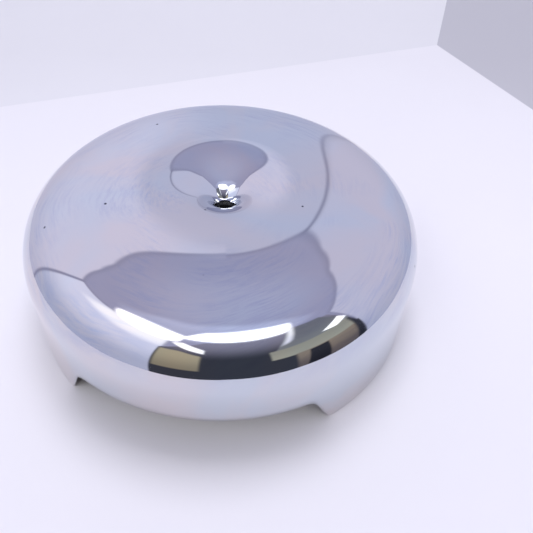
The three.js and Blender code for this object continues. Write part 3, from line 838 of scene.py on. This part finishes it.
def makeGrommet():
    shape = breatherShape
    low, high = boxOf("breather_grommet")
    center = ((low.x + high.x) / 2, (low.y + high.y) / 2)
    inner, outer = shape["tube"] + 0.3, shape["grommet"]
    neck, lip = outer - shape["groove"], shape["lip"]
    corners = [
        (inner, low.z, 0.3), (outer, low.z, 1.0), (outer, low.z + lip, 0.3), (neck, low.z + lip, 0),
        (neck, high.z - lip, 0), (outer, high.z - lip, 0.3), (outer, high.z, 1.0), (inner, high.z, 0.3),
    ]
    finishPiece(
        "breatherGrommet", turnOutline(roundedOutline(corners, 4), 56, center), "base", ["breather_grommet"],
        madeFinishes["black_rubber"], 40,
    )


makeStandoff("support_standoff_1")
makeStandoff("support_standoff_2")
makeElbow()
makeGrommet()
print("breather done")


# What the chrome mirrors: a white light tent, open at the front, with a strip light over the opening.
# Places are degrees to the right of the opening's middle and degrees above the horizon,
# colors are what a chrome mirror shows, from the lower height to the upper one.
tentAreas = [
    dict(
        name="rightWall",
        corners=[(69, -40), (69, 45), (90, 52), (110, 55.5), (125, 56.5), (150, 51), (165, 43.5), (154, -40)],
        colors=("a6a8be", "b6b7cd"), heights=(-14, 26), soft=0.8, border=1.6,
    ),
    dict(
        name="backWallRight", corners=[(153, -40), (166, 43), (175, 47), (195, 50), (195, -40)],
        colors=("a6a8be", "b0b2c8"), heights=(-12, 30), soft=0.8, border=1.6,
    ),
    dict(
        name="backWallLeft",
        corners=[(-195, -40), (-195, 45), (-175, 48), (-150, 52), (-133, 53), (-120, 50), (-104, 40.5), (-113, -40)],
        colors=("b3b2c6", "c5c4d8"), heights=(-12, 30), soft=0.8, border=1.6,
    ),
    dict(
        name="backWallFold", corners=[(-200, -40), (-200, 46), (-174, 46.5), (-174, -40)], colors=("a6a8be", "b0b2c8"),
        heights=(-12, 30), soft=7,
    ),
    dict(
        name="leftWall", corners=[(-112, -40), (-102, 40.5), (-78, 45.5), (-36, 46.5), (-36, -40)],
        colors=("a6aac0", "ccd0e6"), heights=(-4, 34), soft=0.8, border=1.2,
    ),
    dict(
        name="leftWallGlow", corners=[(-92, 36), (-78, 46), (-36, 46.5), (-36, 34)], colors=("e4e6f6", "f8f9ff"),
        heights=(33, 42), soft=2.5,
    ),
    dict(
        name="ceilingGlow", corners=[(-85, 54), (-62, 66), (0, 72), (48, 66), (66, 54), (40, 50), (-60, 48)],
        colors=("a9acc6", "b6b9d4"), heights=(56, 70), soft=3.5,
    ),
    dict(
        name="openingRoom", corners=[(-37, -20), (-37, 33), (-14, 49), (20, 52), (46, 52), (66, 45), (72, -20)],
        colors=("34363f", "848192"), heights=(22, 50), soft=0.7,
    ),
    dict(
        name="sideRoomWall", corners=[(-36, 1), (-36, 32), (-26, 33), (-14, 28), (-14, 1)], colors=("7d7768", "a09983"),
        heights=(0, 30), soft=1.2,
    ),
    dict(
        name="roomFabric", corners=[(24, 26), (36, 47), (48, 51), (62, 48), (68, 30), (68, 26)],
        colors=("75777b", "696b74"), heights=(27, 44), soft=1.0,
    ),
    dict(
        name="roomWall", corners=[(21, 12), (21, 27), (66, 28), (66, 12)], colors=("97968a", "8d8c82"),
        heights=(12, 28), soft=1.0,
    ),
    dict(
        name="roomFloor", corners=[(33, -15), (33, 13), (66, 13), (66, -15)], colors=("5c5455", "83776c"),
        heights=(-12, 12), soft=1.4,
    ),
    dict(
        name="roomDoor", corners=[(38, -15), (40, 12), (50, 12), (50, -15)], colors=("22232b", "2c2d35"),
        heights=(-12, 12), soft=0.8,
    ),
    dict(
        name="tentFrame", corners=[(66.5, -15), (66.5, 15), (69.5, 15), (70, -15)], colors=("282932", "34353e"),
        heights=(-12, 12), soft=0.5,
    ),
    dict(
        name="roomTube", corners=[(52, 30), (66, 36.5), (68, 30), (60, 27)], colors=("ffffff", "ffffff"),
        heights=(0, 1), soft=0.8, strength=1.6,
    ),
    dict(
        name="stripReturn", corners=[(-36, 42), (-27, 45.5), (-13, 38), (-13, 29), (-24, 37)],
        colors=("ffffff", "ffffff"), heights=(0, 1), soft=1.0, strength=1.3,
    ),
    dict(
        name="stripRight", corners=[(-29, 52), (-20, 60), (8, 63), (34, 61), (47, 57.5), (40, 50), (6, 50.5)],
        colors=("ffffff", "ffffff"), heights=(0, 1), soft=3.0, strength=3.8,
    ),
    dict(
        name="stripLeft", corners=[(-79, 50), (-70, 54.5), (-48, 56.5), (-30, 53), (-31, 46), (-60, 45.5), (-76, 47)],
        colors=("ffffff", "ffffff"), heights=(0, 1), soft=2.8, strength=3.4,
    ),
    dict(
        name="stripEnd", corners=[(40, 51), (46, 54), (35, 35), (29, 33)], colors=("d9dae8", "ffffff"),
        heights=(34, 52), soft=2.0,
    ),
]

tent = {
    "mirror": 0.67,  # how much of the light the chrome gives back
    "ceiling": ("9495b0", "a1a2bb"),
    "ceilingHeights": (52, 80),
    "borderDarkening": 0.84,
    "backdrop": "e1e0f0",
    "fill": 0.79,  # share of the tent's light that falls on matt things; the softbox gives the rest
}


def makeSurroundings():
    world = bpy.data.worlds.new("lightTent")
    bpy.context.scene.world = world
    world.use_nodes = True
    tree = world.node_tree
    tree.nodes.clear()
    way = addNode(tree, "ShaderNodeSeparateXYZ", {0: addNode(tree, "ShaderNodeTexCoord").outputs["Generated"]})
    towardFront = addNode(tree, "ShaderNodeMath", {0: way.outputs["Y"], 1: -1}, operation="MULTIPLY")
    aside = addNode(tree, "ShaderNodeMath", {0: way.outputs["X"], 1: towardFront.outputs[0]}, operation="ARCTAN2")
    above = addNode(tree, "ShaderNodeMath", {0: way.outputs["Z"]}, operation="ARCSINE")
    asideDegrees = addNode(tree, "ShaderNodeMath", {0: aside.outputs[0]}, operation="DEGREES")
    aboveDegrees = addNode(tree, "ShaderNodeMath", {0: above.outputs[0]}, operation="DEGREES")
    place = addNode(
        tree, "ShaderNodeCombineXYZ", {0: asideDegrees.outputs[0], 1: aboveDegrees.outputs[0], 2: 1.0},
    ).outputs[0]
    height = aboveDegrees.outputs[0]

    def blendUp(colors, heights):
        share = addNode(
            tree, "ShaderNodeMapRange", {"Value": height, "From Min": heights[0], "From Max": heights[1]},
            interpolation_type="SMOOTHSTEP",
        )
        return addNode(
            tree, "ShaderNodeMix", {0: share.outputs[0], 6: linearColor(colors[0]), 7: linearColor(colors[1])},
            data_type="RGBA",
        ).outputs[2]

    painted = blendUp(tent["ceiling"], tent["ceilingHeights"])
    for area in tentAreas:
        if "border" in area:
            rim = addNode(
                tree, "ShaderNodeMix", {0: 1.0, 6: painted, 7: (tent["borderDarkening"],) * 3 + (1.0,)},
                data_type="RGBA", blend_type="MULTIPLY",
            ).outputs[2]
            painted = addNode(
                tree, "ShaderNodeMix",
                {0: insideOf(tree, place, area["corners"], area["border"], area["border"]), 6: painted, 7: rim},
                data_type="RGBA",
            ).outputs[2]
        color = blendUp(area["colors"], area["heights"])
        if "strength" in area:
            color = addNode(
                tree, "ShaderNodeVectorMath", {0: color, "Scale": area["strength"]}, operation="SCALE",
            ).outputs[0]
        painted = addNode(
            tree, "ShaderNodeMix", {0: insideOf(tree, place, area["corners"], area["soft"]), 6: painted, 7: color},
            data_type="RGBA",
        ).outputs[2]

    seen = addNode(tree, "ShaderNodeLightPath")
    strength = addNode(
        tree, "ShaderNodeMapRange",
        {
            "Value": seen.outputs["Is Diffuse Ray"], "To Min": 1 / tent["mirror"],
            "To Max": tent["fill"] / tent["mirror"],
        },
    )
    mirrored = addNode(tree, "ShaderNodeBackground", {"Color": painted, "Strength": strength.outputs[0]})
    # the camera itself sees a plain pale backdrop
    plain = addNode(tree, "ShaderNodeBackground", {"Color": linearColor(tent["backdrop"]), "Strength": 1.0})
    both = addNode(
        tree, "ShaderNodeMixShader", {0: seen.outputs["Is Camera Ray"], 1: mirrored.outputs[0], 2: plain.outputs[0]},
    )
    addNode(tree, "ShaderNodeOutputWorld", {0: both.outputs[0]})
    print("surroundings done")


makeSurroundings()


softbox = {"at": (0.08, 0.40, 1.38), "size": 0.6, "power": 9.8, "color": "f2f3ff"}


def makeSoftbox():
    place = softbox["at"]
    data = bpy.data.lights.new("softbox", "AREA")
    data.shape = "SQUARE"
    data.size = softbox["size"]
    data.energy = softbox["power"]
    data.color = linearColor(softbox["color"])[:3]
    lamp = bpy.data.objects.new("softbox", data)
    bpy.context.scene.collection.objects.link(lamp)
    aim = Vector(place).to_track_quat("Z", "Y").to_matrix().to_4x4()
    lamp.matrix_world = Matrix.Translation(place) @ aim
    lamp.visible_glossy = False  # mirrors show the tent instead
    print("softbox done")


makeSoftbox()


floorLook = {
    "size": 8.0,
    "board": "efecee",
    "groundLeft": "e7e5e7",
    # painted shade: the ground right of the seam is darker, standing for the tent's less lit right wall
    "groundRightPaintedShade": "c3c1c6",
    # painted shade: the board's colour is darkened towards the tent's back wall, where it is less lit
    "farPaintedShade": 0.88,  # the board is less lit towards the tent's back wall
    "farFrom": 0.02, "farTo": 0.30,
    # the pale board, in metres; a mirror sees the tent's walls beyond it
    "boardCorners": [
        (-0.32, -0.06), (-0.168, -0.235), (0.0, -0.287), (0.143, -0.25), (0.25, -0.143), (0.345, -0.005),
        (0.2287, 0.3292), (-0.32, 0.1551),
    ],
    "groundSeam": [(0.2287, 0.3292), (0.2826, 0.4625)],
}


# Painted table board on a pale ground: matt, with the faintest mottling; painted shade darkens the board towards the
# back, and the ground right of the seam
def makeFloor():
    look = floorLook
    mesh = bmesh.new()
    bmesh.ops.create_grid(mesh, x_segments=1, y_segments=1, size=look["size"] / 2)
    data = bpy.data.meshes.new("floor")
    mesh.to_mesh(data)
    mesh.free()
    floor = bpy.data.objects.new("floor", data)
    bpy.context.scene.collection.objects.link(floor)
    material, tree, shader, coords = newMaterial("paintedTableBoard")
    spot = addNode(tree, "ShaderNodeSeparateXYZ", {0: coords})
    place = addNode(tree, "ShaderNodeCombineXYZ", {0: spot.outputs[0], 1: spot.outputs[1], 2: 1.0}).outputs[0]
    board = insideOf(tree, place, look["boardCorners"], 0.0006)
    start, end = (Vector(point) for point in look["groundSeam"])
    along = (end - start).normalized()
    pastSeam = addNode(
        tree, "ShaderNodeVectorMath", {0: place, 1: (along.y, -along.x, along.x * start.y - along.y * start.x)},
        operation="DOT_PRODUCT",
    )
    side = addNode(tree, "ShaderNodeMath", {0: pastSeam.outputs["Value"], 1: 0.0}, operation="GREATER_THAN")
    # the ground right of the seam takes the painted shade
    ground = addNode(
        tree, "ShaderNodeMix",
        {0: side.outputs[0], 6: linearColor(look["groundLeft"]), 7: linearColor(look["groundRightPaintedShade"])}, data_type="RGBA",
    )
    both = addNode(
        tree, "ShaderNodeMix", {0: board, 6: ground.outputs[2], 7: linearColor(look["board"])}, data_type="RGBA",
    )
    mottle = addNode(tree, "ShaderNodeTexNoise", {"Vector": coords, "Scale": 9, "Detail": 3})
    tone = addNode(tree, "ShaderNodeMapRange", {"Value": mottle.outputs[0], "To Min": 0.97, "To Max": 1.0})
    # painted shade: the board's colour darkens towards the back
    far = addNode(
        tree, "ShaderNodeMapRange",
        {
            "Value": spot.outputs[1], "From Min": look["farFrom"], "From Max": look["farTo"], "To Min": 1.0,
            "To Max": look["farPaintedShade"],
        },
    )
    shade = addNode(tree, "ShaderNodeMath", {0: tone.outputs[0], 1: far.outputs[0]}, operation="MULTIPLY")
    paint = addNode(tree, "ShaderNodeVectorMath", {0: both.outputs[2], "Scale": shade.outputs[0]}, operation="SCALE")
    tree.links.new(paint.outputs[0], shader.inputs["Base Color"])
    shader.inputs["Roughness"].default_value = 0.6
    shader.inputs["Specular IOR Level"].default_value = 0.15
    light = addNode(tree, "ShaderNodeLightPath")
    beyond = addNode(tree, "ShaderNodeMath", {0: 1.0, 1: board}, operation="SUBTRACT")
    gone = addNode(
        tree, "ShaderNodeMath", {0: beyond.outputs[0], 1: light.outputs["Is Glossy Ray"]}, operation="MULTIPLY",
    )
    clear = addNode(tree, "ShaderNodeBsdfTransparent")
    shown = addNode(tree, "ShaderNodeMixShader", {0: gone.outputs[0], 1: shader.outputs[0], 2: clear.outputs[0]})
    tree.links.new(shown.outputs[0], tree.nodes["Material Output"].inputs["Surface"])
    floor.data.materials.append(material)
    print("floor done")


makeFloor()


cameraPlace = {
    "at": (0, -0.20448, 0.22451),
    "right": (0.99669, -0.07041, 0.04073),
    "up": (0.02278, 0.72231, 0.69119),
    "ahead": (0.07809, 0.68797, -0.72152),
    "lens": 34.75,
}


def makeCamera():
    data = bpy.data.cameras.new("camera")
    data.lens = cameraPlace["lens"]
    data.sensor_width = 36
    data.clip_start = 0.01
    camera = bpy.data.objects.new("camera", data)
    bpy.context.scene.collection.objects.link(camera)
    right, up, ahead = (Vector(cameraPlace[k]) for k in ("right", "up", "ahead"))
    turn = Matrix((right, up, -ahead)).transposed()
    camera.matrix_world = Matrix.Translation(cameraPlace["at"]) @ turn.to_4x4()
    bpy.context.scene.camera = camera
    scene = bpy.context.scene
    scene.view_settings.view_transform = "Standard"
    scene.view_settings.look = "None"
    print("camera done")


makeCamera()

bpy.context.view_layer.update()
